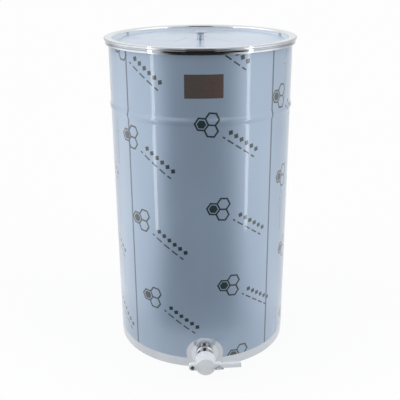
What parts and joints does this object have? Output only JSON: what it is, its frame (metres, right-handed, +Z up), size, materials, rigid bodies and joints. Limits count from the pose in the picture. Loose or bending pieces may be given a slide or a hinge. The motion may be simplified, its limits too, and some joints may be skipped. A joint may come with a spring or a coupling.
{
  "type": "honey settling tank",
  "caption": "Tall stainless steel drum for settling honey, with a drop-in lid with a turned knob and a plastic flap gate with a handle and a wing nut low on its front.",
  "frame": {"origin": "on the drum's axis, at the plane that the drum's lower edge stands on", "axes": "+Z up along the drum's axis, -Y out of the drum along the honey gate, +X to the right seen from the gate's side"},
  "size_m": [0.492, 0.5534, 0.8494],
  "materials": {
    "stainless": "bright rolled stainless sheet",
    "polished_steel": "turned and polished",
    "film": "thin pale blue protective film over bright steel",
    "lid_film": "thin pale protective film over bright steel",
    "sticker": "brown paper sticker, plain",
    "white_plastic": "moulded white food-grade plastic",
    "zinc": "plain steel fasteners",
    "rubber": "black rubber ring"
  },
  "bodies": {
    "tank": {"tank_shell": "stainless", "tank_floor": "stainless", "body_film": "film", "label_sticker": "sticker", "outlet_stub": "stainless", "outlet_gasket": "rubber", "gate_body": "white_plastic", "pivot_bolt": "zinc", "pivot_washer": "zinc", "pivot_nut": "zinc", "lock_bolt": "zinc", "head_washers": "zinc"},
    "gate": {"gate_plate": "white_plastic"},
    "nut_washer": {"lock_washer": "zinc"},
    "nut": {"wing_nut": "zinc"},
    "lid": {"lid_pan": "stainless", "lid_film": "lid_film", "lid_knob": "polished_steel", "knob_washer": "zinc", "knob_screw": "zinc"}
  },
  "joints": [
    {"name": "lid_lift", "type": "slide", "parent": "tank", "child": "lid", "axis": [0, 0, 1], "range_m": [0, 0.3]},
    {"name": "gate_swing", "type": "hinge", "parent": "tank", "child": "gate", "pos_m": [-0.0343, -0.292, 0.04], "axis": [0, -1, 0], "range_deg": [0, 85]},
    {"name": "nut_travel", "type": "slide", "parent": "tank", "child": "nut_washer", "axis": [0, -1, 0], "range_m": [0, 0.0032]},
    {"name": "nut_turn", "type": "hinge", "parent": "nut_washer", "child": "nut", "pos_m": [0.0343, -0.298, 0.04], "axis": [0, -1, 0], "range_deg": [0, 1440]}
  ],
  "couplings": [
    {"joint": "nut_travel", "follows": "nut_turn", "m_per_rad": 0.0001273}
  ]
}
